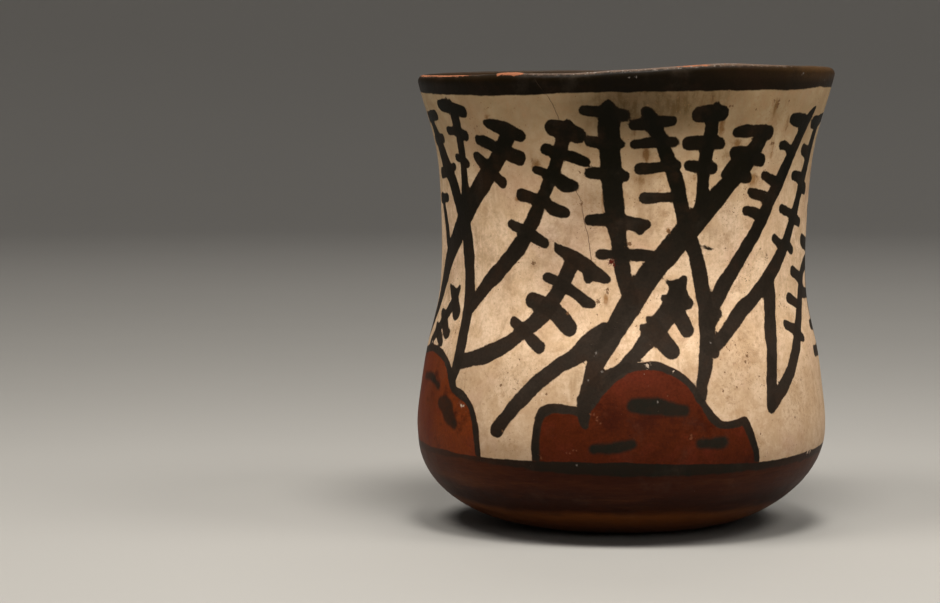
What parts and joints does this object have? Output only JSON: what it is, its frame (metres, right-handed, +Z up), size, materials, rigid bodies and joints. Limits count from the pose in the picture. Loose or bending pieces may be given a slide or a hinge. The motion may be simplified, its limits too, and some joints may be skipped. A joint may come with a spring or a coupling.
{
  "type": "ceramic vase",
  "caption": "Tall open hand-built clay cup with a thin uneven lip, drawn-in waist, full belly and small flat foot, slip-painted with branching cactus plants over red hills.",
  "frame": {"origin": "centre of the flat foot, on the surface the vessel stands on", "axes": "+Z up through the open mouth, -Y towards the painted front, +X to the viewer's right"},
  "size_m": [0.1227, 0.1222, 0.1354],
  "materials": {
    "painted_clay": "burnished cream slip with black and red painted plants, red-brown base, aged"
  },
  "bodies": {
    "root": {"vase": "painted_clay"}
  },
  "joints": []
}
